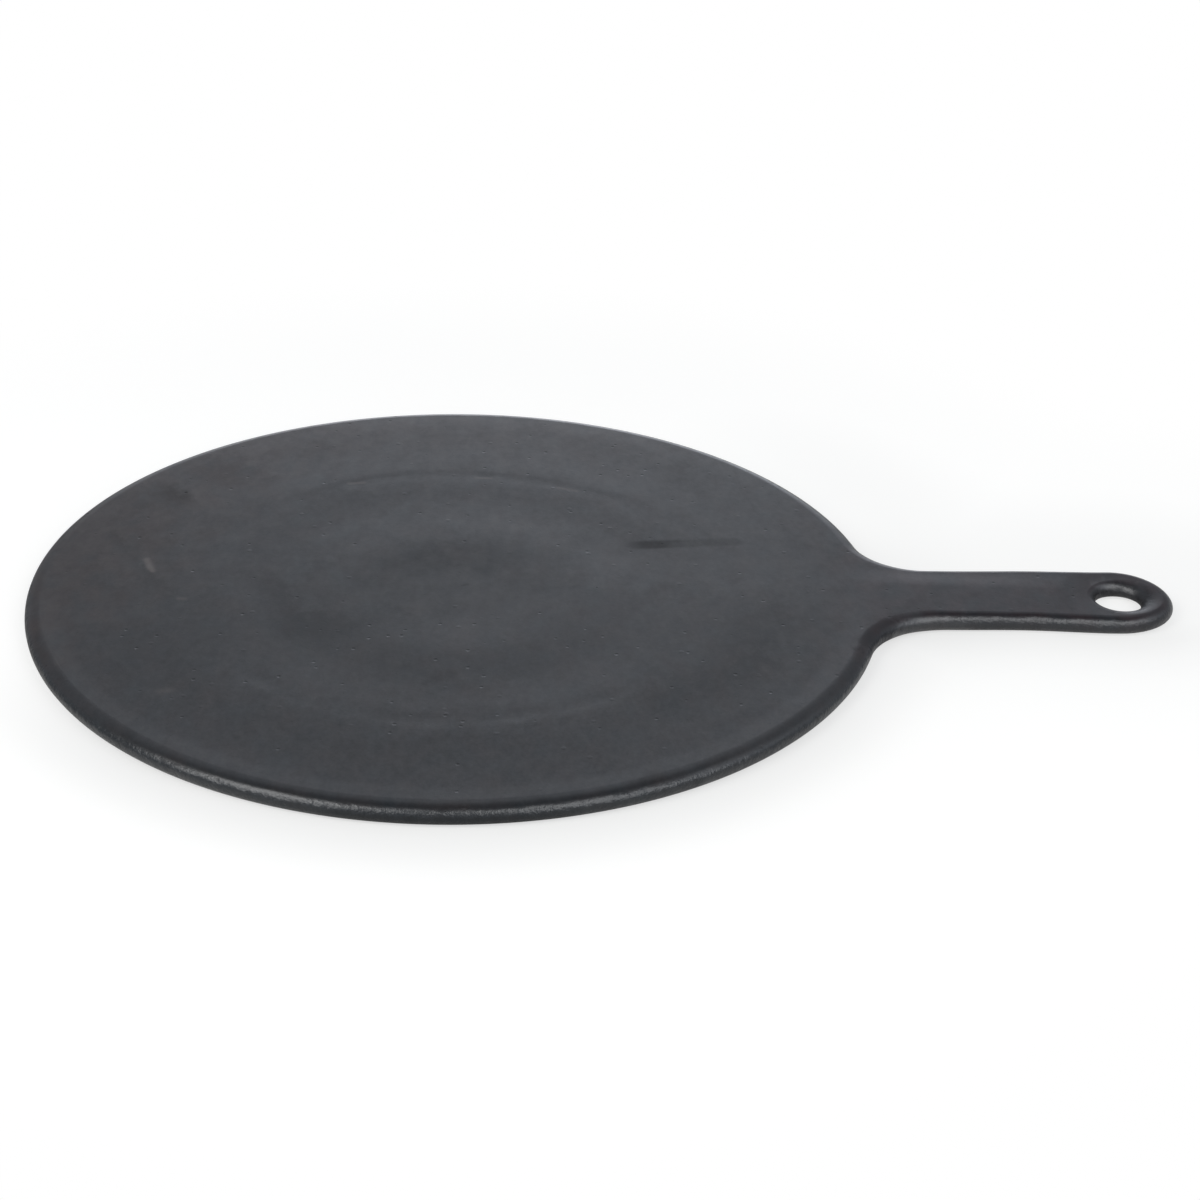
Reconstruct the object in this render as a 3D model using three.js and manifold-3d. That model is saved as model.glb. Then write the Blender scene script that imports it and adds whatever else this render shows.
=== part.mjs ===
// A round flat griddle of burnished black clay, for flatbreads over a flame.
//
// The potter throws the plate as a disc, cuts a short flat on its rim, and lutes a strap handle
// to that flat with slip. The handle's root is flared, so that the outline runs from the plate
// through two hollow corners into the strap. Every edge is a full round, and the hole near the
// handle's end is softened with a wet finger. Fired, the two pieces are one body.
//
// Millimetres, +Z up. The origin is the middle of the plate's underside, and +X runs along the
// handle, so the photographed front of the griddle is its -Y side.

import * as THREE from "three";
import { mergeVertices } from "three/addons/utils/BufferGeometryUtils.js";
import Module from "manifold-3d";

// Driving dimensions

const PLATE_DIAMETER = 305; // 12 inches across the rim
const THICKNESS = 7.5; // plate and handle alike, so that both lie flat
const EDGE_LAND = 0.3; // upright strip between the upper and the lower round of every edge

const HANDLE_REACH = 107.2; // from the rim to the handle's tip
const ROOT_WIDTH = 36.2; // the strap, where its sides would meet the rim
const END_WIDTH = 38.8; // the strap, where its round end begins
const END_ROUND_LENGTH = 21; // the end is a little longer than a half circle
const FRONT_CORNER_RADIUS = 32.5; // hollow corner on the -Y side
const BACK_CORNER_RADIUS = 23.5; // hollow corner on the +Y side, drawn in tighter

const HOLE_DIAMETER = 16.4; // at its throat, half way through the handle
const HOLE_FROM_TIP = 19.6; // hole's centre to the handle's tip
const HOLE_LIP = 6; // how far the softened lip spreads beyond the throat

const SLIP_THICKNESS = 0.3; // layer of slip between the plate's flat and the handle's root
const FLAT_MARGIN = 1; // the flat is cut this far inside the place where the corners leave the rim

const WELL_RADIUS = 35; // middle of the slope round the shallow well at the plate's centre
const WELL_SLOPE_WIDTH = 14;
const WELL_DEPTH = 0.3;
const RIDGE_DEPTH = 0.05; // crest of the throwing ring round the well, below the rim band
const RIM_BAND_WIDTH = 55.5; // rim to the middle of the step that ends the flat outer band
const STEP_WIDTH = 7;
const FLOOR_DEPTH = 0.25; // the face just inside the step, below the rim band

// Fineness of the facets

const PLATE_SEGMENTS = 120; // round the plate
const EDGE_SEGMENTS = 6; // in each quarter round of an edge
const CURVE_SEGMENTS = 10; // in each half of an arc of the handle's outline
const HOLE_SEGMENTS = 36; // round the hole
const RING_SEGMENTS = 4; // in each slope of the throwing rings
const SAME_POINT = 1e-6; // outline points closer than this are one point

// Sizes worked out from the ones above

const plateRadius = PLATE_DIAMETER / 2;
const edgeRadius = (THICKNESS - EDGE_LAND) / 2;
const tipX = plateRadius + HANDLE_REACH;
const endX = tipX - END_ROUND_LENGTH; // where the strap's straight sides stop
const holeX = tipX - HOLE_FROM_TIP;
const sideSlope = (END_WIDTH - ROOT_WIDTH) / 2 / (endX - plateRadius);

// The hollow corner on one side: an arc outside the plate's circle, tangent to it and to the
// strap's side. It is worked out for the +Y side; the -Y side is its mirror image.
function hollowCorner(radius) {
  // The arc's centre lies on the line parallel to the strap's side and one radius beyond it ...
  const lineLength = Math.hypot(1, sideSlope);
  const offset = ROOT_WIDTH / 2 - sideSlope * plateRadius + radius * lineLength;
  // ... at plateRadius + radius from the plate's centre: a quadratic equation for its x.
  const a = 1 + sideSlope ** 2;
  const b = 2 * sideSlope * offset;
  const c = offset ** 2 - (plateRadius + radius) ** 2;
  const x = (-b + Math.sqrt(b * b - 4 * a * c)) / (2 * a);
  const centre = new THREE.Vector2(x, sideSlope * x + offset);
  return {
    centre,
    radius,
    rimAngle: centre.angle(), // where the arc leaves the rim, seen from the plate's centre
    startAngle: centre.angle() - Math.PI, // the same point, seen from the arc's centre
    endAngle: Math.atan2(-1, sideSlope), // where the arc meets the strap's side
  };
}

const backCorner = hollowCorner(BACK_CORNER_RADIUS);
const frontCorner = hollowCorner(FRONT_CORNER_RADIUS);

// The flat is cut square across the handle, just inside both corners' ends on the rim.
const widestRimAngle = Math.max(backCorner.rimAngle, frontCorner.rimAngle);
const flatX = plateRadius * Math.cos(widestRimAngle) - FLAT_MARGIN;

const wasm = await Module();
wasm.setup();

// A closed three.js geometry as a solid that can be cut.
function toSolid(geometry) {
  const bare = geometry.clone();
  bare.deleteAttribute("normal");
  bare.deleteAttribute("uv");
  const merged = mergeVertices(bare);
  return new wasm.Manifold(
    new wasm.Mesh({
      numProp: 3,
      vertProperties: new Float32Array(merged.attributes.position.array),
      triVerts: new Uint32Array(merged.index.array),
    }),
  );
}

// A cut solid as a three.js geometry again.
function toGeometry(solid) {
  const mesh = solid.getMesh();
  const geometry = new THREE.BufferGeometry();
  geometry.setAttribute("position", new THREE.BufferAttribute(mesh.vertProperties, 3));
  geometry.setIndex(new THREE.BufferAttribute(mesh.triVerts, 1));
  return geometry;
}

// A block that covers everything between two values of x.
function blockBetween(xLow, xHigh) {
  const block = new THREE.BoxGeometry(xHigh - xLow, 2 * PLATE_DIAMETER, 4 * THICKNESS);
  block.translate((xLow + xHigh) / 2, 0, THICKNESS / 2);
  return toSolid(block);
}

// A profile of (radius, height) points turned round the Z axis.
function turned(profile, segments) {
  const geometry = new THREE.LatheGeometry(profile, segments);
  geometry.rotateX(Math.PI / 2);
  return toSolid(geometry);
}

// A smooth slope between two points of the cooking face, without its last point.
function slope(from, to) {
  const points = [];
  for (let i = 0; i < RING_SEGMENTS; i++) {
    const share = i / RING_SEGMENTS;
    const eased = (1 - Math.cos(Math.PI * share)) / 2;
    const radius = from.x + (to.x - from.x) * share;
    points.push(new THREE.Vector2(radius, from.y + (to.y - from.y) * eased));
  }
  return points;
}

// The lower quarter round of the plate's rim, from the underside out to its widest point.
function quarterRound() {
  const points = [];
  for (let i = 0; i <= EDGE_SEGMENTS; i++) {
    const angle = (Math.PI / 2) * (i / EDGE_SEGMENTS);
    const inset = edgeRadius * (1 - Math.sin(angle));
    points.push(new THREE.Vector2(plateRadius - inset, edgeRadius * (1 - Math.cos(angle))));
  }
  return points;
}

// Half of the plate's section, from the middle of the underside, round the rim and over the
// throwing rings to the middle of the cooking face.
function plateProfile() {
  const stepRadius = plateRadius - RIM_BAND_WIDTH;
  const bandEdge = new THREE.Vector2(stepRadius + STEP_WIDTH / 2, THICKNESS);
  const stepFoot = new THREE.Vector2(stepRadius - STEP_WIDTH / 2, THICKNESS - FLOOR_DEPTH);
  const ridge = new THREE.Vector2(WELL_RADIUS + WELL_SLOPE_WIDTH / 2, THICKNESS - RIDGE_DEPTH);
  const wellEdge = new THREE.Vector2(WELL_RADIUS - WELL_SLOPE_WIDTH / 2, THICKNESS - WELL_DEPTH);
  const valley = new THREE.Vector2((ridge.x + stepFoot.x) / 2, stepFoot.y);

  const lowerRound = quarterRound();
  const upperRound = lowerRound.map((point) => new THREE.Vector2(point.x, THICKNESS - point.y));
  const profile = [new THREE.Vector2(0, 0), ...lowerRound, ...upperRound.reverse()];
  profile.push(...slope(bandEdge, stepFoot));
  profile.push(stepFoot);
  profile.push(...slope(valley, ridge));
  profile.push(...slope(ridge, wellEdge));
  profile.push(wellEdge);
  profile.push(new THREE.Vector2(0, wellEdge.y));
  return profile;
}

// The plate: a turned disc with a flat cut across its rim for the handle.
function griddlePlate() {
  const disc = turned(plateProfile(), PLATE_SEGMENTS);
  const seat = flatX - SLIP_THICKNESS / 2;
  return toGeometry(disc.subtract(blockBetween(seat, tipX)));
}

// The outline of the whole griddle, whose handle is what lies beyond the flat. The far side of
// the plate is cut away afterwards, so only the rim beside the handle is drawn finely.
function wholeOutline() {
  const back = backCorner;
  const front = frontCorner;
  const besideHandle = 2 * widestRimAngle;
  const outline = new THREE.Shape();
  outline.absarc(0, 0, plateRadius, besideHandle, -besideHandle, false);
  outline.absarc(0, 0, plateRadius, -besideHandle, -front.rimAngle, false);
  outline.absarc(front.centre.x, -front.centre.y, front.radius, -front.startAngle, -front.endAngle, true);
  outline.absellipse(endX, 0, END_ROUND_LENGTH, END_WIDTH / 2, -Math.PI / 2, Math.PI / 2, false, 0);
  outline.absarc(back.centre.x, back.centre.y, back.radius, back.endAngle, back.startAngle, true);
  outline.absarc(0, 0, plateRadius, back.rimAngle, besideHandle, false);
  // Where one arc hands over to the next, the shared point comes twice, and one of them goes.
  const points = outline.getPoints(CURVE_SEGMENTS);
  const isApart = (point, i) => point.distanceTo(points[(i + 1) % points.length]) > SAME_POINT;
  return new THREE.Shape(points.filter(isApart));
}

// The tool that makes the hole: narrowest at the throat, flaring to the softened lips. Its
// flare runs a hair past both faces, so that it breaks through them cleanly.
function holeTool() {
  const breakout = EDGE_LAND / 2;
  const throatRadius = HOLE_DIAMETER / 2;
  const halfHeight = THICKNESS / 2 + breakout;
  const steps = 2 * EDGE_SEGMENTS;
  const profile = [new THREE.Vector2(0, -breakout)];
  for (let i = 0; i <= steps; i++) {
    const angle = Math.PI * (i / steps);
    const radius = throatRadius + HOLE_LIP * (1 - Math.sin(angle));
    profile.push(new THREE.Vector2(radius, THICKNESS / 2 - halfHeight * Math.cos(angle)));
  }
  profile.push(new THREE.Vector2(0, THICKNESS + breakout));
  return turned(profile, HOLE_SEGMENTS).translate([holeX, 0, 0]);
}

// The handle: a slab of that outline with full round edges, cut square at the flat and pierced.
function handle() {
  const slab = new THREE.ExtrudeGeometry(wholeOutline(), {
    depth: EDGE_LAND,
    curveSegments: CURVE_SEGMENTS,
    bevelEnabled: true,
    bevelThickness: edgeRadius,
    bevelSize: edgeRadius,
    bevelOffset: -edgeRadius,
    bevelSegments: EDGE_SEGMENTS,
  });
  slab.translate(0, 0, edgeRadius);
  const root = flatX + SLIP_THICKNESS / 2;
  return toGeometry(toSolid(slab).subtract(blockBetween(-plateRadius, root)).subtract(holeTool()));
}

function burnishedClay(color) {
  return new THREE.MeshStandardMaterial({ color, roughness: 0.5, metalness: 0 });
}

function piece(name, geometry, material) {
  const mesh = new THREE.Mesh(geometry, material);
  mesh.name = name;
  return mesh;
}

const griddle = new THREE.Group();
griddle.add(piece("griddle_plate", griddlePlate(), burnishedClay(0x3a3b3d)));
griddle.add(piece("handle", handle(), burnishedClay(0x3a3b3d)));

export default griddle;
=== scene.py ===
# %% [markdown]
# # A round griddle of burnished black clay
#
# The griddle is a flat plate of fired clay with a strap handle, for flatbreads over a flame. The
# potter throws the plate, lutes the handle to its rim, rubs both with a smooth stone and fires
# them in smoke, which turns the clay black. This lesson gives the griddle its real surface in
# Blender: one plan for both pieces, lifted to a solid with full-round edges, and one clay.

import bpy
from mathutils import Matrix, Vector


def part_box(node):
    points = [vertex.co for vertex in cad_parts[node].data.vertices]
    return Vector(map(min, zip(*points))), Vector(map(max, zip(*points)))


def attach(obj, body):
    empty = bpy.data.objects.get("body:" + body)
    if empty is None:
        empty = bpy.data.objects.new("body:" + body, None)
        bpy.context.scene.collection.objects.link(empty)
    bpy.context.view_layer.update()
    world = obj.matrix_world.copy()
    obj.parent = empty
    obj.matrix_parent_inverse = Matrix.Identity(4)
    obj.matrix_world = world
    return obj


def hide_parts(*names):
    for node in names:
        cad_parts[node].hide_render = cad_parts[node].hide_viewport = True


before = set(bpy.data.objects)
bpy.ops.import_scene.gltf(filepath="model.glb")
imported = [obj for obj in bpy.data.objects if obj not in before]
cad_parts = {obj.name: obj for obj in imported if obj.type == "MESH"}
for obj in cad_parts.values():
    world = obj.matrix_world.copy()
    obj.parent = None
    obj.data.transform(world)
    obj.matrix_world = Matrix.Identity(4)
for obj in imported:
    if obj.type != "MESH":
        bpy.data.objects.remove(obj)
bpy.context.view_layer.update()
print("frame holds", sorted(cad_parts))

# %% What the lesson needs besides the frame
import math
from types import SimpleNamespace

import bpy
import numpy as np
from mathutils import Matrix, Vector
from mathutils.geometry import delaunay_2d_cdt

print("Blender", bpy.app.version_string, "with numpy", np.__version__)

# %% [markdown]
# ## Sizes
#
# A potter measures in millimetres, so the shapes are worked out in them and turned into Blender's
# metres when a mesh is made. The plate's radius, the thickness, the tip and the seam could be typed
# in once more. They are read from the frame instead, so that this surface and the CAD model can't
# drift apart.

# %% Sizes from the frame, in millimetres
MM = 0.001
_, plate_high = (np.round(np.array(corner) / MM, 3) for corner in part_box("griddle_plate"))
handle_low, handle_high = (np.round(np.array(corner) / MM, 3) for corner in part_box("handle"))

RIM_RADIUS = plate_high[1]
THICKNESS = plate_high[2]
TIP_X = handle_high[0]
SEAM_X = (plate_high[0] + handle_low[0]) / 2
print("rim radius", RIM_RADIUS, "thickness", THICKNESS, "tip", TIP_X, "seam", round(SEAM_X, 3))

# %% [markdown]
# ## The outline
#
# Seen from above, the edge is made of a few plain curves: the rim's circle, a hollow corner on
# each side of the handle, the strap's two straight sides and half an ellipse at its end. Each half
# of the outline is the same function with its own sizes, so the two sides of the handle may differ
# as they do on the real griddle. A spline drawn over the photograph could do it too, but it tends
# to ripple, and a few arcs stay as fair as an edge that was rubbed with a stone.

# %% Sizes of the handle
# A hollow corner's radius, and how far the side lies from the middle line where it meets the
# rim's circle, at the root, and where the round end begins.
BACK = {"corner": 23.8, "root": 18.6, "end": 21.2}  # the far side, +Y
FRONT = {"corner": 31.4, "root": 18.9, "end": 19.2}  # the near side
END_ROUND_LENGTH = 21
END_X = TIP_X - END_ROUND_LENGTH
print("the straight sides end at x =", END_X)

# %% The hollow corner
def side_slope(root, end):
    """How far the strap's side moves out per millimetre along the handle."""
    return (end - root) / (END_X - RIM_RADIUS)


def corner_centre(radius, root, end):
    """Centre of the arc that touches both the rim and the strap's side, on the +Y side.

    It lies one radius beyond the line of the strap's side, and one radius beyond the rim: the
    two conditions make a quadratic equation for its x.
    """
    slope = side_slope(root, end)
    offset = root - slope * RIM_RADIUS + radius * np.hypot(1, slope)
    a = 1 + slope**2
    b = 2 * slope * offset
    c = offset**2 - (RIM_RADIUS + radius) ** 2
    x = (-b + np.sqrt(b * b - 4 * a * c)) / (2 * a)
    return x, slope * x + offset


for side in (BACK, FRONT):
    print("corner of radius", side["corner"], "round", np.round(corner_centre(*side.values()), 2))

# %% One half of the outline
EDGE_STEP = 1.4


def arc(centre, radii, start, end, step):
    """Points on an arc or a stretch of an ellipse, about a step apart, without the last one."""
    count = math.ceil(abs(end - start) * max(radii) / step)
    angle = np.linspace(start, end, count, endpoint=False)
    return np.c_[centre[0] + radii[0] * np.cos(angle), centre[1] + radii[1] * np.sin(angle)]


def half_outline(side, step):
    """One side's edge on the +Y side, from the plate's far end to just before the tip.

    The rim's arc, in two stretches that meet at the seam, the hollow corner, the straight side and
    a quarter of an ellipse follow each other, and each starts where the last one ends.
    """
    x, y = corner_centre(side["corner"], side["root"], side["end"])
    slope = side_slope(side["root"], side["end"])
    rim_angle = math.atan2(y, x)
    seam_angle = math.acos(SEAM_X / RIM_RADIUS)
    side_angle = math.atan2(-1, slope)
    rim = (RIM_RADIUS, RIM_RADIUS)
    corner = (side["corner"], side["corner"])
    side_start = x + side["corner"] * np.cos(side_angle)
    side_count = math.ceil((END_X - side_start) / step)
    along = np.linspace(side_start, END_X, side_count, endpoint=False)
    straight = np.c_[along, side["end"] + slope * (along - END_X)]
    return np.concatenate(
        [
            arc((0, 0), rim, math.pi, seam_angle, step),
            arc((0, 0), rim, seam_angle, rim_angle, step),
            arc((x, y), corner, rim_angle - math.pi, side_angle, step),
            straight,
            arc((END_X, 0), (END_ROUND_LENGTH, side["end"]), math.pi / 2, 0, step),
        ]
    )


back_half = half_outline(BACK, EDGE_STEP)
front_half = half_outline(FRONT, EDGE_STEP) * (1, -1)
print("the halves have", len(back_half), "and", len(front_half), "points")

# %% The whole outline, once round
tip = [[TIP_X, 0]]
outline = np.concatenate([back_half, tip, front_half[:0:-1]])
print("outline has", len(outline), "points")

# %% [markdown]
# ## How far a point lies from the edge
#
# The clay rounds off towards its edge and towards the hole, so its height at any point of the plan
# depends mostly on how far that point lies from the outline and from the hole's throat. That could
# be searched for among the outline's short segments, but their facets would show in the light on
# the edge. Here each stretch of the outline answers for the points that face it, with a short
# formula for whole arrays. Three more formulas say how the round changes along the edge: how far
# it reaches in, how high its widest line lies, and how the strap sways.

# %% A smooth slope between two values
def eased(value, low, high):
    """0 where the value is low and 1 where it is high, with a smooth slope between them."""
    t = np.clip((value - low) / (high - low), 0, 1)
    return t * t * (3 - 2 * t)


print("a slope from 0 to 1 in quarters:", eased(np.linspace(0, 1, 5), 0, 1))

# %% The nearest point of the round end
NEWTON_STEPS = 6


def to_round_end(x, y, b):
    """Foot of the shortest way from each point to the ellipse at the handle's end.

    The foot's angle makes the way square to the ellipse, and a few Newton steps find it.
    """
    a = END_ROUND_LENGTH
    px, py = np.maximum(x - END_X, 0), y
    angle = np.arctan2(py * a, px * b)
    for _ in range(NEWTON_STEPS):
        slope = (a * a - b * b) * np.cos(2 * angle) - px * a * np.cos(angle) - py * b * np.sin(angle)
        miss = (a * a - b * b) * np.sin(2 * angle) / 2 - px * a * np.sin(angle) + py * b * np.cos(angle)
        angle = np.clip(angle - miss / slope, 0, math.pi / 2)
    facing = np.stack([np.cos(angle) / a, np.sin(angle) / b], -1)
    facing /= np.linalg.norm(facing, axis=-1, keepdims=True)
    foot = np.stack([END_X + a * np.cos(angle), b * np.sin(angle)], -1)
    return foot, facing


tip_foot, _ = to_round_end(np.array([TIP_X + 9]), np.array([0]), BACK["end"])
print("from beyond the tip, the shortest way ends at", tip_foot[0])

# %% Distance from the outline
TINY = 1e-9  # keeps a division by a length away from zero


def from_edge(points):
    """How far in from the outline each plan point lies, and the way out as a unit vector.

    Beside the rim it is the radius less the way from the middle. Beside a corner it is the way
    from the arc's centre less its radius. Beside the strap it is measured square to the side, and
    at the end along the shortest way to the ellipse.
    """
    x, y = points[:, 0], np.abs(points[:, 1])
    q = np.stack([x, y], -1)
    behind = points[:, 1] >= 0
    corner_radius, root, end = (np.where(behind, BACK[key], FRONT[key]) for key in BACK)
    slope = side_slope(root, end)
    centre = np.stack(corner_centre(corner_radius, root, end), -1)

    from_middle = np.linalg.norm(q, axis=-1)
    rim_in = RIM_RADIUS - from_middle
    rim_out = q / np.maximum(from_middle, TINY)[:, None]

    to_centre = centre - q
    reach = np.linalg.norm(to_centre, axis=-1)
    corner_in = reach - corner_radius
    corner_out = to_centre / np.maximum(reach, TINY)[:, None]

    length = np.hypot(1, slope)
    side_in = (end + slope * (x - END_X) - y) / length
    side_out = np.stack([-slope, np.ones_like(x)], -1) / length[:, None]

    foot, end_out = to_round_end(x, y, end)
    end_in = np.sum((foot - q) * end_out, -1)

    beside_rim = np.arctan2(y, x) >= np.arctan2(centre[:, 1], centre[:, 0])
    beside_corner = to_centre[:, 0] + slope * to_centre[:, 1] > 0
    beside_side = x < END_X
    which = [beside_rim, beside_corner, beside_side]
    inward = np.select(which, [rim_in, corner_in, side_in], end_in)
    pick = [mask[:, None] for mask in which]
    outward = np.select(pick, [rim_out, corner_out, side_out], end_out)
    mirror = np.where(behind, 1, -1)
    return inward, outward * np.stack([np.ones_like(x), mirror], -1)


edge_check, _ = from_edge(outline)
print("outline lies on its own zero line within", round(float(np.abs(edge_check).max()), 6), "mm")

# %% The hanging hole and the distance from it
HOLE_FROM_TIP = 19.6
HOLE_X = TIP_X - HOLE_FROM_TIP
HOLE_Y = 0.5
HOLE_RADIUS = 8.3
HOLE_LIP = 5.3  # how far the softened upper lip spreads from the throat
LIP_MORE_AT_TIP = 1.9
LIP_MORE_IN_FRONT = 1.2
UNDER_LIP = 6


def from_hole(points):
    """How far each plan point lies from the hole's throat, and the way to the hole's middle."""
    to_middle = np.array([HOLE_X, HOLE_Y]) - points
    reach = np.linalg.norm(to_middle, axis=-1)
    return reach - HOLE_RADIUS, to_middle / np.maximum(reach, TINY)[:, None]


def hole_lip(to_middle):
    """How far the upper lip spreads from the throat: more towards the tip and the near side."""
    return HOLE_LIP - LIP_MORE_AT_TIP * to_middle[:, 0] + LIP_MORE_IN_FRONT * to_middle[:, 1]


print("hole of", 2 * HOLE_RADIUS, "mm round", (round(HOLE_X, 2), HOLE_Y))

# %% How the round changes along the edge
UNDER_ROUND = THICKNESS / 2  # how far the round reaches in below, all along the edge
RIM_ROUND = 5.8  # how far it reaches in above, on the rim
STRAP_ROUND = 4.2  # and on the strap
STRAP_DROP = 0.7  # how much lower the edge's widest line lies on the strap
HOLE_DROP = 0.7  # and how much lower again in the hole
STRAP_SWAY = 0.5  # how far the strap swings to either side, in one wave
SWAY_MIDDLE = 188
SWAY_LENGTH = 64


def share_of_strap(points):
    """0 on the plate and 1 on the strap, with a smooth slope just past the seam."""
    return eased(points[:, 0] - SEAM_X, 3, 33)


def upper_round(points):
    """How far the upper round reaches in from the edge: further on the rim than on the strap."""
    return RIM_ROUND + (STRAP_ROUND - RIM_ROUND) * share_of_strap(points)


def widest_height(points):
    """Height at which the edge reaches out furthest.

    It is half the thickness on the rim, less a drop on the strap and another in the hole.
    """
    at_hole = 1 - eased(from_hole(points)[0], 0, 8)
    return THICKNESS / 2 - STRAP_DROP * share_of_strap(points) - HOLE_DROP * at_hole


def sway(x):
    """How far the potter's hand left the strap to one side: a short wave along it, in mm."""
    envelope = eased(x, 155, 170) * (1 - eased(x, 232, 252))
    return STRAP_SWAY * envelope * np.sin(2 * math.pi * (x - SWAY_MIDDLE) / SWAY_LENGTH)


swing = sway(outline[:, 0])
print("the strap sways from", round(float(swing.min()), 2), "to", round(float(swing.max()), 2), "mm")

# %% [markdown]
# ## The plan of both pieces
#
# The potter joins two pieces and then works the surface over as one. Two meshes could be modelled
# apart and pushed together, but light would catch on the step between them. So one net of
# triangles covers the plan once, and the underside reuses it. Near an edge its points sit on rings
# whose spacing follows a quarter circle, so that the round nose gets even facets. Inside, they sit
# on circles round the plate's middle, as throwing marks do. The seam between plate and handle is a
# line of points that both share.

# %% Rings along the edge and round the hole
NOSE_INSETS = 1 - np.cos(np.radians(np.arange(10, 91, 10)))
HOLE_POINTS = 96


def clear_of_seam(points, gap):
    """The points that lie further than a gap from the line of the seam."""
    return points[np.abs(points[:, 0] - SEAM_X) > gap]


def edge_rings():
    """Rings inside the outline, at the insets that divide the round nose evenly."""
    _, outward = from_edge(outline)
    insets = NOSE_INSETS[:, None] * upper_round(outline)
    rings = outline[None] - outward[None] * insets[:, :, None]
    return clear_of_seam(rings.reshape(-1, 2), 0.3)


def hole_rings():
    """Circles round the hole, spaced in the same way over its softened lip."""
    angle = np.linspace(0, 2 * math.pi, HOLE_POINTS, endpoint=False)
    circle = np.stack([np.cos(angle), np.sin(angle)], -1)
    radii = HOLE_RADIUS + np.r_[0, NOSE_INSETS][:, None] * hole_lip(-circle)
    return (circle[None] * radii[:, :, None] + (HOLE_X, HOLE_Y)).reshape(-1, 2)


edge, lips = edge_rings(), hole_rings()
print(len(edge), "points along the edge and", len(lips), "round the hole")

# %% Points inside
CIRCLE_GAP = 1.8  # between two throwing circles
CIRCLE_STEP = 2.4  # along them
STRAP_STEP = 2
CLEARANCE = 0.8  # from the innermost ring of an edge to the points inside it


def throwing_circles():
    """Points on circles round the plate's middle, out to where the edge rings take over."""
    rows = [np.zeros((1, 2))]
    for radius in np.arange(CIRCLE_GAP, RIM_RADIUS, CIRCLE_GAP):
        rows.append(arc((0, 0), (radius, radius), 0, 2 * math.pi, CIRCLE_STEP))
    return np.concatenate(rows)


def strap_lattice(half_width):
    """Rows of points along the handle, every other row shifted by half a step."""
    rows = np.arange(-half_width, half_width, STRAP_STEP)
    x, y = np.meshgrid(np.arange(SEAM_X, TIP_X, STRAP_STEP), rows)
    x = x + (np.arange(len(y)) % 2)[:, None] * STRAP_STEP / 2
    return np.stack([x, y], -1).reshape(-1, 2)


def inner_points():
    """The circles on the plate and the lattice on the handle, clear of edges, hole and seam."""
    on_plate = throwing_circles()
    on_plate = on_plate[on_plate[:, 0] < SEAM_X]
    points = clear_of_seam(np.concatenate([on_plate, strap_lattice(50)]), 0.6)
    inward, _ = from_edge(points)
    from_throat, to_middle = from_hole(points)
    off_edge = inward > upper_round(points) + CLEARANCE
    off_hole = from_throat > hole_lip(to_middle) + CLEARANCE
    return points[off_edge & off_hole]


inside = inner_points()
print(len(inside), "points inside")

# %% Points on the seam
SEAM_STEP = 1.6
FINE_COUNT = 3000  # steps along the seam when its nose points are looked up


def seam_points():
    """Points across the root: close together where the line runs down through the round nose.

    There they lie at the same insets from the edge as the rings beside them.
    """
    y = np.linspace(0, math.sqrt(RIM_RADIUS**2 - SEAM_X**2), FINE_COUNT)
    sides = []
    for side in (1, -1):
        inward, _ = from_edge(np.stack([np.full_like(y, SEAM_X), y * side], -1))
        on_nose = np.interp(NOSE_INSETS * RIM_ROUND, inward[::-1], y[::-1])
        flat = np.arange(CLEARANCE, on_nose[-1] - CLEARANCE, SEAM_STEP)
        sides.append(np.sort(np.r_[flat, on_nose]) * side)
    across = np.r_[sides[0][::-1], sides[1]]
    return np.stack([np.full_like(across, SEAM_X), across], -1)


seam = seam_points()
print(len(seam), "points on the seam")

# %% The net of triangles
SAME = 1e-3  # lengths below this count as none


def loop_edges(first, count):
    """Index pairs that close a run of points into a ring."""
    index = first + np.arange(count)
    return np.c_[index, np.roll(index, -1)]


hole_first = len(outline)
seam_first = hole_first + len(lips)
on_seam = np.flatnonzero(np.abs(outline[:, 0] - SEAM_X) < SAME)
seam_run = np.r_[on_seam[0], seam_first + np.arange(len(seam)), on_seam[1]]
plan_points = np.concatenate([outline, lips, seam, edge, inside])
fixed_edges = np.concatenate(
    [
        loop_edges(0, len(outline)),
        loop_edges(hole_first, HOLE_POINTS),
        np.c_[seam_run[:-1], seam_run[1:]],
    ]
)
net = delaunay_2d_cdt(plan_points.tolist(), fixed_edges.tolist(), [], 0, 1e-5, False)
plan = np.array([tuple(point) for point in net[0]])
triangles = np.array(net[2])
middles = plan[triangles].mean(1)
solid = (from_edge(middles)[0] > 0) & (from_hole(middles)[0] > 0)
triangles = triangles[solid]
a, b, c = plan[triangles].swapaxes(0, 1)
turn = np.cross(b - a, c - a)
triangles[turn < 0] = triangles[turn < 0][:, ::-1]
smallest = float(np.abs(turn).min()) / 2
print("net:", len(plan), "points,", len(triangles), "triangles, smallest", round(smallest, 6), "mm2")

# %% [markdown]
# ## Lifting the plan
#
# The edge reaches out furthest along one line, about half way up. From the height of that line the
# clay rises to the cooking face and falls to the underside along quarters of an ellipse, and it
# does the same round the hole. The edge is rubbed down further from above than from below. A slab
# with a Bevel modifier would give one and the same round everywhere, and a formula lets it change
# from place to place. The cooking face adds what the potter's rib left on the slow wheel: a
# shallow well, a low crest, a broad valley, a fine groove and a broken step up to the rim's band.

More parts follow.
